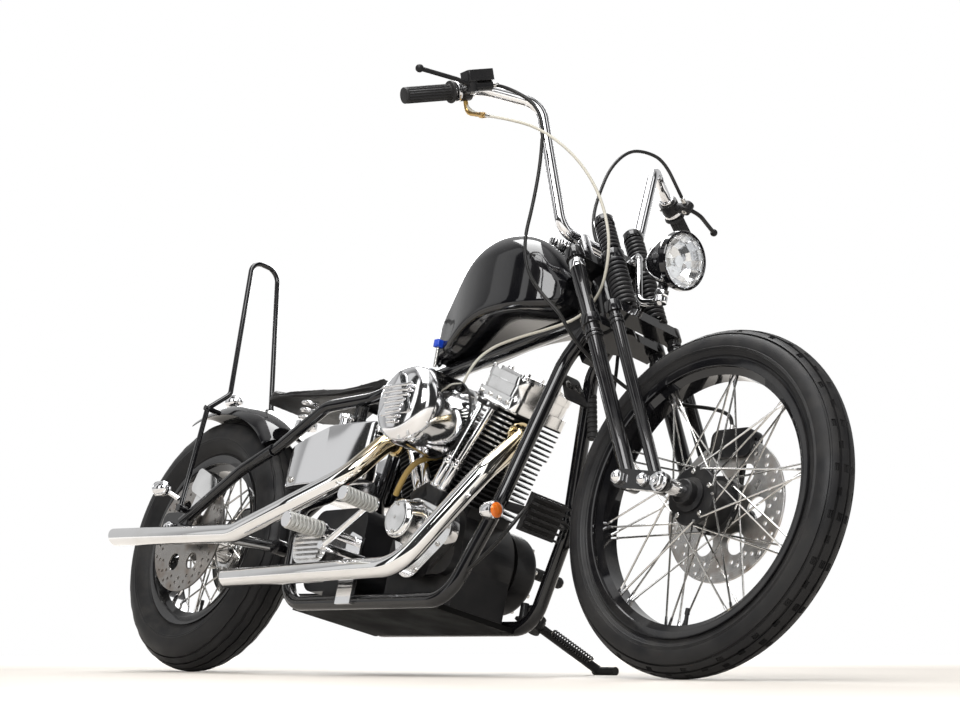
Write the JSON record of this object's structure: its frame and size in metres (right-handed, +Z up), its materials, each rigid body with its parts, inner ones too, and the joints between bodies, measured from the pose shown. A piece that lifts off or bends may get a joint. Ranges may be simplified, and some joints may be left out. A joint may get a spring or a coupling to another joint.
{
  "type": "chopper motorcycle",
  "caption": "V-twin chopper motorcycle with springer fork, high handlebar, solo seat and short rear fender, leaning on its side stand; steering, wheels and stand move.",
  "frame": {"origin": "on the ground, under the middle of the parked motorcycle's box", "axes": "+X towards the front wheel, +Y to the rider's left, +Z up; the motorcycle leans to its left"},
  "size_m": [2.3369, 1.015, 1.2881],
  "materials": {
    "black_fins": "black paint with bare fin edges",
    "cable_black": "satin",
    "cast_alloy": "as cast",
    "chrome": "polished",
    "disc_steel": "ground",
    "fork_black": "gloss",
    "gloss_black": "gloss",
    "lamp_glass": "clear",
    "leather": "worn",
    "polished_alloy": "polished",
    "satin_black": "satin",
    "soft_rubber": "matt",
    "spring_steel": "satin",
    "tyre_rubber": "matt"
  },
  "bodies": {
    "frame": {"air_cleaner": "chrome", "cam_cover": "polished_alloy", "carburettor": "cast_alloy", "control_cables": "cable_black", "cradle_left": "gloss_black", "cradle_right": "gloss_black", "crankcase": "cast_alloy", "crossmembers": "gloss_black", "drive_belt": "soft_rubber", "front_cylinder": "black_fins", "front_exhaust": "chrome", "front_rocker_box": "polished_alloy", "front_signals": "chrome", "fuel_tank": "gloss_black", "gearbox": "cast_alloy", "gearbox_cover": "polished_alloy", "left_controls": "chrome", "neck_backbone": "gloss_black", "oil_tank": "chrome", "primary_cover": "polished_alloy", "pushrod_tubes": "chrome", "rear_axle": "chrome", "rear_caliper": "polished_alloy", "rear_cylinder": "black_fins", "rear_exhaust": "chrome", "rear_fender": "gloss_black", "rear_rocker_box": "polished_alloy", "rear_signals": "chrome", "regulator": "satin_black", "right_controls": "chrome", "seat": "leather", "seat_springs": "chrome", "sissy_bar": "gloss_black", "stand_bracket": "satin_black", "swingarm": "gloss_black", "tail_lamp": "chrome"},
    "fork": {"rigid_fork": "fork_black", "spring_legs": "fork_black", "spring_perch": "fork_black", "fork_springs": "spring_steel", "rockers": "fork_black", "front_axle": "chrome", "front_caliper": "satin_black", "headlamp": "gloss_black", "headlamp_lens": "lamp_glass", "headlamp_bracket": "chrome", "handlebar": "chrome", "grips": "soft_rubber", "right_bar_control": "satin_black", "left_bar_control": "satin_black", "brake_hose": "cable_black"},
    "front_wheel": {"front_tyre": "tyre_rubber", "front_wheel": "gloss_black", "front_disc": "disc_steel"},
    "rear_wheel": {"rear_tyre": "tyre_rubber", "rear_wheel": "gloss_black", "rear_disc": "disc_steel", "rear_pulley": "cast_alloy"},
    "stand": {"side_stand": "satin_black"}
  },
  "joints": [
    {"name": "steering", "type": "hinge", "parent": "frame", "child": "fork", "pos_m": [0.50871, -0.06749, 0.70711], "axis": [-0.4691, 0.2107, 0.8577], "range_deg": [-30, 30], "deforming": ["control_cables"]},
    {"name": "front_wheel_spin", "type": "hinge", "parent": "fork", "child": "front_wheel", "pos_m": [0.82365, -0.15858, 0.33625], "axis": [0, 0.9711, -0.2385], "continuous": true},
    {"name": "rear_wheel_spin", "type": "hinge", "parent": "frame", "child": "rear_wheel", "pos_m": [-0.84036, -0.16246, 0.32044], "axis": [0, 0.9711, -0.2385], "continuous": true},
    {"name": "stand_swing", "type": "hinge", "parent": "frame", "child": "stand", "pos_m": [0.22956, -0.04771, 0.10848], "axis": [0.0004, 0.6044, 0.7967], "range_deg": [0, 105]}
  ]
}
